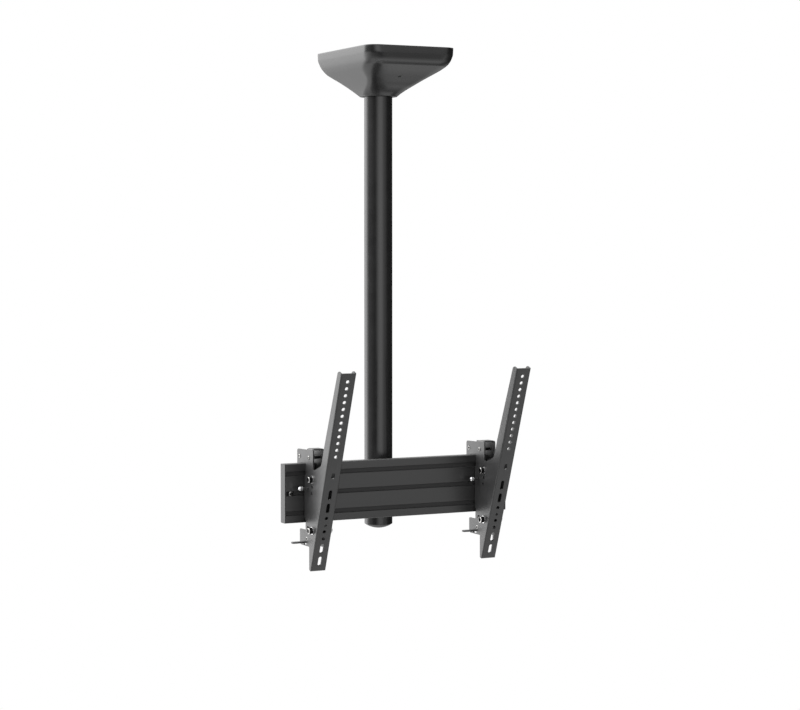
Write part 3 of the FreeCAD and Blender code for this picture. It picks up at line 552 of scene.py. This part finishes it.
def carve(bm, cutter):
    """bm less cutter"""
    objs = []
    for name, part in (("carve_a", bm), ("carve_b", cutter)):
        bmesh.ops.recalc_face_normals(part, faces=part.faces)
        me = bpy.data.meshes.new(name)
        part.to_mesh(me)
        part.free()
        o = bpy.data.objects.new(name, me)
        bpy.context.scene.collection.objects.link(o)
        objs.append(o)
    m = objs[0].modifiers.new("cut", "BOOLEAN")
    m.operation = "DIFFERENCE"
    m.solver = "EXACT"
    m.object = objs[1]
    bpy.context.view_layer.update()
    dg = bpy.context.evaluated_depsgraph_get()
    ev = objs[0].evaluated_get(dg)
    out = bmesh.new()
    out.from_mesh(ev.to_mesh())
    ev.to_mesh_clear()
    for o in objs:
        me = o.data
        bpy.data.objects.remove(o)
        bpy.data.meshes.remove(me)
    return out


# ------------------------------------------------------------------ ceiling cover
COVER = dict(hx=102.0, y0=-169.5, y1=108.5, neck=35.0)
# height, share of the way to the neck (front face, other faces), corner radius
CURVE = [(0.0, 0.0, 0.0, 27.0), (-14.0, 0.0, 0.0, 29.0), (-20.0, 0.0086, 0.0122, 31.0),
         (-26.0, 0.0211, 0.0317, 33.0), (-32.0, 0.0514, 0.0628, 34.0), (-37.5, 0.1085, 0.1100, 33.2),
         (-44.0, 0.2330, 0.1833, 31.0), (-49.0, 0.3270, 0.2680, 27.8), (-54.0, 0.4150, 0.3700, 23.6),
         (-62.0, 0.5450, 0.5360, 17.5), (-68.0, 0.6402, 0.6385, 16.5), (-74.0, 0.7290, 0.7227, 19.5),
         (-80.0, 0.8230, 0.7965, 24.0), (-86.0, 0.8990, 0.8611, 29.5), (-90.0, 0.9345, 0.9013, 33.5),
         (-93.2, 0.9565, 0.9359, 36.5)]
CREASE = -37.5


def monotone(zs, vs, lo=None, hi=None):
    """smooth curve through the points that never overshoots them; lo and hi fix the end slopes"""
    h = [zs[i + 1] - zs[i] for i in range(len(zs) - 1)]
    d = [(vs[i + 1] - vs[i]) / h[i] for i in range(len(h))]
    m = [d[0] if lo is None else lo]
    for i in range(1, len(d)):
        m.append(0.0 if d[i - 1] * d[i] <= 0 else 3 * (h[i - 1] + h[i]) / ((2 * h[i] + h[i - 1]) / d[i - 1] + (h[i] + 2 * h[i - 1]) / d[i]))
    m.append(d[-1] if hi is None else hi)

    def f(z):
        i = max(k for k in range(len(h)) if z >= zs[k] - 1e-9) if z > zs[0] else 0
        t = (z - zs[i]) / h[i]
        return ((1 + 2 * t) * (1 - t) ** 2 * vs[i] + t * (1 - t) ** 2 * h[i] * m[i]
                + t * t * (3 - 2 * t) * vs[i + 1] + t * t * (t - 1) * h[i] * m[i + 1])
    return f


def column(k, rows=CURVE, **kw):
    return monotone([-c[0] for c in rows], [c[k] for c in rows], **kw)


FRONT_UP = column(1, [c for c in CURVE if c[0] >= CREASE])
FRONT_LOW = column(1, [c for c in CURVE if c[0] <= CREASE])
SIDES, RADIUS = column(2), column(3)


def front_share(z):
    """the front face has a soft crease, the other faces run through without one"""
    w = 0.9
    if z > CREASE + w:
        return FRONT_UP(-z)
    if z < CREASE - w:
        return FRONT_LOW(-z)
    a, b, p = FRONT_UP(-(CREASE + w)), FRONT_LOW(-(CREASE - w)), FRONT_UP(-CREASE)
    t = (CREASE + w - z) / (2 * w)
    return a * (1 - t) ** 2 + p * 2 * t * (1 - t) + b * t ** 2


def cover_ring(z, sf, ss, r, off=0.0, n_arc=14, n_side=16):
    hx = COVER["hx"] - ss * (COVER["hx"] - COVER["neck"]) - off
    ya = COVER["y0"] + sf * (-COVER["y0"] - COVER["neck"]) + off
    yb = COVER["y1"] - ss * (COVER["y1"] - COVER["neck"]) - off
    r = r - off
    pts = []
    corners = [(hx - r, ya + r, -90), (hx - r, yb - r, 0), (-hx + r, yb - r, 90), (-hx + r, ya + r, 180)]
    for i, (cx, cy, a0) in enumerate(corners):
        for k in range(n_arc + 1):
            a = math.radians(a0 + 90.0 * k / n_arc)
            pts.append((cx + r * math.cos(a), cy + r * math.sin(a)))
        nx, ny, na = corners[(i + 1) % 4]
        e = pts[-1]
        b = math.radians(na)
        f = (nx + r * math.cos(b), ny + r * math.sin(b))
        for k in range(1, n_side):
            t = k / n_side
            pts.append((e[0] + (f[0] - e[0]) * t, e[1] + (f[1] - e[1]) * t))
    return [P(px, py, z) for px, py in pts]


def cover_level(z, off=0.0, lift=0.0):
    return cover_ring(z + lift, front_share(z), SIDES(-z), RADIUS(-z), off)


def build_cover():
    heights = [0.0, -4.0, -9.0, -14.0, -16.0, -18.0, -20.0, -22.0, -24.0, -26.0, -28.0, -30.0, -32.0, -34.0, -35.6, -36.6,
               -36.9, -37.2, -37.5, -37.8, -38.1, -38.4, -39.2, -40.5, -42.0, -44.0, -46.0, -48.0, -50.0, -52.0, -54.0, -56.0, -58.0, -60.0,
               -62.0, -64.0, -66.0, -68.0, -70.0, -72.0, -74.0, -76.0, -78.0, -80.0, -82.0, -84.0, -86.0, -88.0, -90.0, -91.6, -93.2]
    bm = bmesh.new()
    loops = []
    # top edge with a small rounding against the ceiling
    for z, off in ((0.0, 0.35), (-0.15, 0.12), (-0.5, 0.0)):
        loops.append([bm.verts.new(p) for p in cover_level(z, off)])
    for z in heights[1:]:
        loops.append([bm.verts.new(p) for p in cover_level(z)])
    end = CURVE[-1][1:]
    for z, off in ((-93.5, 0.12), (-93.9, 0.38), (-94.2, 0.72), (-94.4, 1.2)):
        loops.append([bm.verts.new(p) for p in cover_ring(z, *end, off)])
    m = len(loops[0])
    # foot ring down to the bore
    bore = 31.2
    foot = cover_ring(-94.4, *end, 1.2)
    for z, r in ((-94.4, bore + 0.5), (-93.9, bore), (-91.0, bore), (-88.5, bore)):
        loop = []
        for p in foot:
            a = math.atan2(p.y, p.x)
            loop.append(bm.verts.new(P(r * math.cos(a), r * math.sin(a), z)))
        loops.append(loop)
    # inside wall, up to the ceiling
    for z in (-89.5, -84.0, -78.0, -72.0, -66.0, -60.0, -54.0, -48.0, -43.0, -37.5, -32.0, -26.0, -20.0, -14.0, 0.0):
        k = min(1.0, max(0.0, (-14.0 - z) / 32.0))
        q = min(1.0, max(0.0, (-14.0 - z) / 20.0))
        loops.append([bm.verts.new(p) for p in cover_level(z, 2.5 - 1.3 * k, 2.2 * q)])
    for i in range(len(loops)):
        p, q = loops[i], loops[(i + 1) % len(loops)]
        for k in range(m):
            k2 = (k + 1) % m
            bm.faces.new((p[k], p[k2], q[k2], q[k]))
    # countersunk hole for the fixing screw
    tilt = math.atan2(8.0, 17.485)
    n = Vector((0, -math.sin(tilt), -math.cos(tilt)))
    cutter = bmesh.new()
    lathe_into(cutter, [(1.0, 0.0), (1.0, 4.3), (0.12, 4.1), (0.0, 3.95), (-0.12, 3.8), (-1.5, 2.0), (-6.0, 1.9), (-6.0, 0.0)], P(0, -104.0, -58.43), n, X, seg=56)
    bm = carve(bm, cutter)
    return finish_mesh("ceiling_cover_shell", bm, node="ceiling_cover", angle=24.0, weighted=False)


build_cover()

# ------------------------------------------------------------------ pole end cap
def build_end_cap():
    """moulded cap: a plug in the tube and a shallow dome under it"""
    zc, rc, drop = -1007.5, 29.3, 9.8
    dome = drop - 0.8
    dr = (rc * rc + dome * dome) / (2 * dome)
    zd = zc - drop + dr
    prof = [(zc + 16, 25.1), (zc + 16, 26.4), (zc + 15.6, 26.9), (zc + 14, 27.25), (zc + 0.05, 27.25), (zc + 0.05, rc - 0.35), (zc - 0.1, rc - 0.1), (zc - 0.3, rc), (zc - 0.8, rc)]
    n = 22
    for i in range(1, n + 1):
        q = rc * (1 - i / n)
        prof.append((zd - math.sqrt(dr * dr - q * q), q))
    bm = bmesh.new()
    ring_count = len(prof)
    inner = []
    m = 10
    for i in range(m + 1):
        q = 25.1 * i / m
        inner.append((zd - math.sqrt((dr - 2.4) ** 2 - q * q), q))
    lathe_into(bm, prof + inner + [prof[0]], (0, 0, 0), (0, 0, 1), seg=96)
    bmesh.ops.remove_doubles(bm, verts=bm.verts, dist=1e-6)
    finish_mesh("pole_end_cap_moulding", bm, node="pole_end_cap", angle=28.0, weighted=False)


build_end_cap()


# ------------------------------------------------------------------ fasteners
def D(d, h):
    return (-95.0 - d, -860.0 + h)


PIVOT, TILTB = (42.0, -29.5), (42.0, -134.5)
PINS = ((-30.0, 13.0), (17.0, 13.5), (8.0, -155.5))
LOCK = (20.0, -49.3)


def coil_into(bm, p0, axis, r_mean, r_wire, height, turns, seg_turn=40, seg=14, dead=1.0):
    """compression spring with closed, ground end turns"""
    a, e1, e2 = frame_of(axis)
    o = Vector(p0)
    n = int(turns * seg_turn)
    prev = None
    free = turns - 2 * dead

    def lift(t):
        if t < dead:
            return r_wire + 2 * r_wire * t * 0.92
        if t > turns - dead:
            return height - r_wire - 2 * r_wire * (turns - t) * 0.92
        z0 = r_wire + 2 * r_wire * dead * 0.92
        z1 = height - r_wire - 2 * r_wire * dead * 0.92
        return z0 + (z1 - z0) * (t - dead) / free

    for i in range(n + 1):
        t = i / seg_turn
        th = 2 * math.pi * t
        z = lift(t)
        c = o + a * z + e1 * (r_mean * math.cos(th)) + e2 * (r_mean * math.sin(th))
        rad = (e1 * math.cos(th) + e2 * math.sin(th))
        slope = (lift(min(turns, t + 0.02)) - lift(max(0.0, t - 0.02))) / (0.04 * 2 * math.pi * r_mean)
        tan = ((e2 * math.cos(th) - e1 * math.sin(th)) + a * slope).normalized()
        up = tan.cross(rad).normalized()
        loop = []
        for k in range(seg):
            ph = 2 * math.pi * k / seg
            q = c + rad * (r_wire * math.cos(ph)) + up * (r_wire * math.sin(ph))
            h = (q - o).dot(a)
            if h < 0.04 * MM:
                q += a * (0.04 * MM - h)
            if h > height - 0.04 * MM:
                q -= a * (h - height + 0.04 * MM)
            loop.append(bm.verts.new(q))
        if prev:
            for k in range(seg):
                k2 = (k + 1) % seg
                bm.faces.new((prev[k], prev[k2], loop[k2], loop[k]))
        else:
            bm.faces.new(loop[::-1])
        prev = loop
    bm.faces.new(prev)


def rod_with_hex(bm, p0, axis, ref, af, head_h, shank_r, length, thread_from, seg=72):
    """hexagon head bolt: head from p0 backwards is not used; head from p0 along -axis"""
    hx = hex_radius(af, 0.0)
    rc = af / math.sqrt(3.0)
    c = 0.5 * (rc - af / 2.0) + 0.25 * MM

    def cone(z):
        def f(th, z=z):
            d = head_h - z
            lim = rc - c + d / 0.6 if d < c * 0.6 else rc
            return min(hx(th), lim)
        return f
    rings = [(-head_h, 0.0)]
    rings += [(-z, cone(z)) for z in (head_h, head_h - c * 0.15, head_h - c * 0.3, head_h - c * 0.45, head_h - c * 0.6, 0.15 * MM)]
    rings += [(0.0, lambda th: hx(th) - 0.15 * MM), (0.0, shank_r), (thread_from - 0.3 * MM, shank_r)]
    rings += thread_rings(thread_from, length - 0.5 * MM, shank_r * 0.85, shank_r, 1.25 * MM, seg)
    rings += [(length - 0.1 * MM, shank_r * 0.8), (length, shank_r * 0.74), (length, 0.0)]
    rings_into(bm, rings, seg, p0, axis, ref)


for side, cx in (("left", -200.0), ("right", 200.0)):
    hw, g_ = 17.0, 0.15
    wx = hw + g_
    b = 13.7
    bw, bn, bs = bmesh.new(), bmesh.new(), bmesh.new()
    for name, hh in (("pivot_bolt_", PIVOT), ("tilt_bolt_", TILTB)):
        yy, zz = D(*hh)
        bm = bmesh.new()
        L = 2 * wx + 3.2 + 8.6
        socket_screw_into(bm, P(cx - wx - 1.6, yy, zz), X, Z, 4.0 * MM, L * MM, 6.5 * MM, 8.0 * MM, 6.0 * MM, 4.5 * MM, (L - 20.0) * MM, knurl=0.22 * MM, seg=96)
        # painted highlight: a bright bare-metal ring on the rim of each head's end face
        mark_wear_and_highlight(bm, [(P(cx - wx - 1.6, yy, zz), X, (-8.05, -7.15), (5.65, 6.6), 0.62 if name[0] == "p" else 0.85)])
        finish_mesh(name + side + "_turned", bm, node=name + side, angle=30.0)
        washer_into(bw, P(cx - wx - 1.6, yy, zz), X, 8.0, 4.2, 1.6)
        washer_into(bw, P(cx + wx, yy, zz), X, 8.0, 4.2, 1.6)
        hex_body_into(bn, P(cx + wx + 1.6, yy, zz), X, Z, 13.0 * MM, 6.5 * MM, 4.0 * MM)
        lathe_into(bs, soft([(-b + 3.0, 4.2), (-b + 3.0, 6.5), (b - 3.0, 6.5), (b - 3.0, 4.2)], 0.35, 2, closed=True), P(cx, yy, zz), X, seg=64, ring=True)
    finish_mesh("arm_washers_%s_stamped" % side, bw, node="arm_washers_" + side, angle=30.0)
    finish_mesh("arm_nuts_%s_forged" % side, bn, node="arm_nuts_" + side, angle=30.0)
    finish_mesh("bracket_spacers_%s_turned" % side, bs, node="bracket_spacers_" + side, angle=30.0)

    bm = bmesh.new()
    for hh in PINS:
        yy, zz = D(*hh)
        half = [(0.0, 3.0), (b, 3.0), (b, 4.25), (b + 0.12, 4.4), (b + 0.35, 4.38), (b + 0.62, 4.15), (b + 0.9, 3.7), (b + 1.1, 3.2), (b + 1.18, 2.8), (b + 1.1, 2.45), (b + 0.6, 2.2), (b - 0.9, 2.0), (b - 1.3, 1.4), (b - 1.4, 0.0)]
        prof = [(-p[0], p[1]) for p in half[:0:-1]] + half[1:]
        lathe_into(bm, prof, P(cx, yy, zz), X, seg=48)
    # painted highlight: a bright bare-metal ring round each rivet head
    spots = []
    for hh in PINS:
        yy, zz = D(*hh)
        for sgn in (-1, 1):
            spots.append((P(cx, yy, zz), X * sgn, (b + 0.85, b + 1.3), (2.7, 3.8), 0.62))
    mark_wear_and_highlight(bm, spots)
    finish_mesh("hook_pins_%s_riveted" % side, bm, node="hook_pins_" + side, angle=32.0)

    # tilt lock: a slim dark rod with a bright turned knob on its end
    ly, lz = D(*LOCK)
    k = hw
    bm = bmesh.new()
    rings = [((-k - 16.9) * MM, 0.0), ((-k - 16.9) * MM, 2.0 * MM), ((-k - 1.2) * MM, 2.0 * MM), ((-k - 1.0) * MM, 2.4 * MM)]
    rings += thread_rings((-k - 0.8) * MM, (-k + 2.5) * MM, 2.1 * MM, 2.5 * MM, 1.0 * MM, 96)
    rings += [((-k + 2.8) * MM, 2.0 * MM), ((-k + 3.1) * MM, 1.7 * MM), ((-k + 3.1) * MM, 0.0)]
    rings_into(bm, rings, 96, P(cx, ly, lz), X, Z)
    # the plain shank is rubbed to a dark grey
    mark_wear_and_highlight(bm, [(P(cx, ly, lz), X, (-k - 17.0, -k - 1.1), (0.0, 2.45), 0.30)])
    finish_mesh("lock_screw_%s_turned" % side, bm, node="lock_screw_" + side, angle=34.0)
    bm = bmesh.new()
    prof = [(-21.75, 0.0), (-21.72, 0.9), (-21.5, 1.7), (-21.05, 2.55), (-20.4, 3.3), (-19.5, 3.9), (-18.6, 4.2), (-18.2, 4.3)]
    rings = [((x - k) * MM, r * MM) for x, r in prof]

    def kn(th):
        return (4.3 - 0.22 * (0.5 + 0.5 * math.cos(30 * th)) ** 1.6) * MM
    rings += [((-k - 18.0) * MM, kn), ((-k - 14.2) * MM, kn), ((-k - 14.0) * MM, 4.3 * MM), ((-k - 13.2) * MM, 4.25 * MM), ((-k - 12.4) * MM, 3.95 * MM), ((-k - 11.7) * MM, 3.4 * MM),
              ((-k - 11.4) * MM, 2.9 * MM), ((-k - 11.4) * MM, 2.03 * MM), ((-k - 12.6) * MM, 2.03 * MM), ((-k - 12.6) * MM, 0.0)]
    rings_into(bm, rings, 120, P(cx, ly, lz), X, Z)
    finish_mesh("lock_knob_cap_%s_turned" % side, bm, node="lock_knob_cap_" + side, angle=34.0)

    # latch return spring, wound wire between the lowest cross pin and the latch
    yy, zz = D(*PINS[2])
    bm = bmesh.new()
    coil_into(bm, P(cx, yy, zz + 3.0), Z, 3.5 * MM, 0.5 * MM, (-860.0 - 122.0 - (zz + 3.0)) * MM, 10.5)
    coil = finish_mesh("latch_spring_%s_wound" % side, bm, node="latch_spring_" + side, angle=50.0, weighted=False)
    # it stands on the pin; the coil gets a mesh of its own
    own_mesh(coil)

# rail end stops
bm, bw = bmesh.new(), bmesh.new()
mid_z = -860.0 - 122.5 / 2
for sx in (-1, 1):
    socket_screw_into(bm, P(sx * 247.0, -96.2, mid_z), Y, X, 3.0 * MM, 12.0 * MM, 5.25 * MM, 3.3 * MM, 4.0 * MM, 2.2 * MM, 2.0 * MM, pitch=1.0 * MM, dome=True, seg=72)
    washer_into(bw, P(sx * 247.0, -96.2, mid_z), Y, 6.2, 3.2, 1.2)
# painted highlight: a bright bare-metal ring on the rim of each domed head
mark_wear_and_highlight(bm, [(P(sx * 247.0, -96.2, mid_z), Y, (-3.0, -1.6), (3.6, 5.2), 0.42) for sx in (-1, 1)])
finish_mesh("rail_stop_screws_turned", bm, node="rail_stop_screws", angle=30.0)
finish_mesh("rail_stop_washers_stamped", bw, node="rail_stop_washers", angle=30.0)

# clamp and rail bolts
bm, bw, bn = bmesh.new(), bmesh.new(), bmesh.new()
for sx in (-1, 1):
    for bz in (-905.0, -939.0):
        rod_with_hex(bm, P(sx * 50.0, 11.6, bz), -Y, X, 13.0 * MM, 5.3 * MM, 4.0 * MM, 32.1 * MM, 14.0 * MM)
        washer_into(bw, P(sx * 50.0, 10.0, bz), Y, 8.0, 4.2, 1.6)
        washer_into(bw, P(sx * 50.0, -11.6, bz), Y, 8.0, 4.2, 1.6)
        hex_body_into(bn, P(sx * 50.0, -11.6, bz), -Y, X, 13.0 * MM, 6.5 * MM, 4.0 * MM)
finish_mesh("clamp_bolts_forged", bm, node="clamp_bolts", angle=30.0)
finish_mesh("clamp_washers_stamped", bw, node="clamp_washers", angle=30.0)
finish_mesh("clamp_nuts_forged", bn, node="clamp_nuts", angle=30.0)
bw, bn = bmesh.new(), bmesh.new()
yr = -95.0 + 21.5
for sx in (-1, 1):
    for h in (-35.0, -87.5):
        washer_into(bw, P(sx * 50.0, yr + 8.0, -860.0 + h), Y, 8.0, 4.2, 1.6)
        hex_body_into(bn, P(sx * 50.0, yr + 9.6, -860.0 + h), Y, X, 13.0 * MM, 6.5 * MM, 4.0 * MM)
finish_mesh("rail_bolt_washers_stamped", bw, node="rail_bolt_washers", angle=30.0)
finish_mesh("rail_bolt_nuts_forged", bn, node="rail_bolt_nuts", angle=30.0)

# ------------------------------------------------------------------ carried-over shapes with broken edges
for n, w in (("ceiling_plate", 0.4), ("pole_socket", 0.4), ("socket_collar", 0.3), ("socket_gussets", 0.5), ("socket_lock_screws", 0.2), ("thrust_washer", 0.25),
             ("pole_top_flange", 0.4), ("cover_bracket", 0.25), ("cover_screw", 0.12), ("rail", 0.25), ("rail_cap_left", 0.45), ("rail_cap_right", 0.45), ("clamp_front", 0.6), ("clamp_rear", 0.6),
             ("rail_bolts", 0.3), ("pole", 0.45)):
    if n in NODES:
        refine(n, w)
for side in ("left", "right"):
    refine("hook_bracket_" + side, 0.35)
    refine("arm_" + side, 0.35)
    refine("latch_" + side, 0.3)

# ------------------------------------------------------------------ studio
# Light comes from the world alone: six bands of soft panels round the part, one
# per elevation, each a plain list of (azimuth in degrees from +Y towards +X, level).
BANDS = {
    -90: [(0, 1.92)],
    -55: [(0, 0.75), (30, 0.85), (60, 0.02), (90, 0.76), (120, 1.59), (150, 1.04), (180, 0.62), (210, 0.69), (240, 0.94), (270, 1.18), (300, 0.99), (330, 0.51)],
    -25: [(0, 1.22), (20, 0.76), (40, 0.56), (60, 0.02), (100, 0.05), (120, 0.3), (140, 1.22), (160, 0.02), (240, 0.02), (260, 0.96), (280, 1.82), (300, 2.75), (320, 3.87), (340, 1.58)],
    0: [(0, 0.97), (10, 0.02), (130, 0.02), (140, 0.34), (150, 0.63), (160, 0.9), (170, 1.64), (180, 2.14), (190, 2.2), (200, 2.0), (210, 1.3), (220, 0.53), (230, 0.02), (290, 0.02),
        (300, 0.78), (310, 2.02), (320, 3.13), (330, 3.12), (340, 2.07), (350, 1.98)],
    25: [(0, 2.83), (30, 1.24), (60, 0.19), (90, 0.02), (120, 0.02), (150, 1.18), (180, 0.59), (210, 0.87), (240, 0.55), (270, 2.88), (300, 4.7), (330, 4.55)],
    60: [(0, 3.48), (45, 2.15), (90, 1.15), (135, 0.36), (180, 0.29), (225, 2.44), (270, 4.77), (315, 4.86)],
    90: [(0, 2.58)],
}
TOP_LEVEL = 6.0

world = bpy.data.worlds.new("studio")
bpy.context.scene.world = world
world.use_nodes = True
wt = world.node_tree
wt.nodes.clear()


def wn(kind, **kw):
    n = wt.nodes.new(kind)
    for k, v in kw.items():
        setattr(n, k, v)
    return n


def wmath(op, a, b=None):
    n = wn("ShaderNodeMath", operation=op)
    for i, v in enumerate((a, b)):
        if v is None:
            continue
        if isinstance(v, (int, float)):
            n.inputs[i].default_value = v
        else:
            wt.links.new(v, n.inputs[i])
    return n.outputs[0]


def wramp(fac, stops):
    n = wn("ShaderNodeValToRGB")
    n.color_ramp.interpolation = "LINEAR"
    e = n.color_ramp.elements
    while len(e) < len(stops):
        e.new(0.5)
    while len(e) > len(stops):
        e.remove(e[-1])
    for el, (p, c) in zip(e, stops):
        el.position = p
        el.color = (c, c, c, 1.0)
    wt.links.new(fac, n.inputs["Fac"])
    return n.outputs["Color"]


tc = wn("ShaderNodeTexCoord")
sep = wn("ShaderNodeSeparateXYZ")
wt.links.new(tc.outputs["Generated"], sep.inputs["Vector"])
vx, vy, vz = sep.outputs
turn = wmath("FRACT", wmath("ADD", wmath("DIVIDE", wmath("ARCTAN2", vx, vy), 2 * math.pi), 1.0))
height = wmath("ADD", wmath("DIVIDE", wmath("ARCSINE", vz), math.pi), 0.5)
levels = sorted(BANDS)
total = None
for i, e in enumerate(levels):
    stops = [(az / 360.0, v / TOP_LEVEL) for az, v in BANDS[e]]
    if len(stops) == 1:
        round_it = wramp(turn, [(0.0, stops[0][1]), (1.0, stops[0][1])])
    else:
        round_it = wramp(turn, stops + [(1.0, stops[0][1])])
    pos = (e + 90.0) / 180.0
    hat = []
    if i > 0:
        hat.append(((levels[i - 1] + 90.0) / 180.0, 0.0))
    hat.append((pos, 1.0))
    if i < len(levels) - 1:
        hat.append(((levels[i + 1] + 90.0) / 180.0, 0.0))
    part = wmath("MULTIPLY", round_it, wramp(height, hat))
    total = part if total is None else wmath("ADD", total, part)
bg_light = wn("ShaderNodeBackground")
wt.links.new(total, bg_light.inputs["Color"])
bg_light.inputs["Strength"].default_value = TOP_LEVEL
bg_seen = wn("ShaderNodeBackground")
bg_seen.inputs["Color"].default_value = (1, 1, 1, 1)
bg_seen.inputs["Strength"].default_value = 1.0
lp = wn("ShaderNodeLightPath")
mix = wn("ShaderNodeMixShader")
wt.links.new(lp.outputs["Is Camera Ray"], mix.inputs["Fac"])
wt.links.new(bg_light.outputs[0], mix.inputs[1])
wt.links.new(bg_seen.outputs[0], mix.inputs[2])
out = wn("ShaderNodeOutputWorld")
wt.links.new(mix.outputs[0], out.inputs["Surface"])

bpy.context.scene.view_settings.view_transform = "Standard"
bpy.context.scene.view_settings.look = "None"

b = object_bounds()
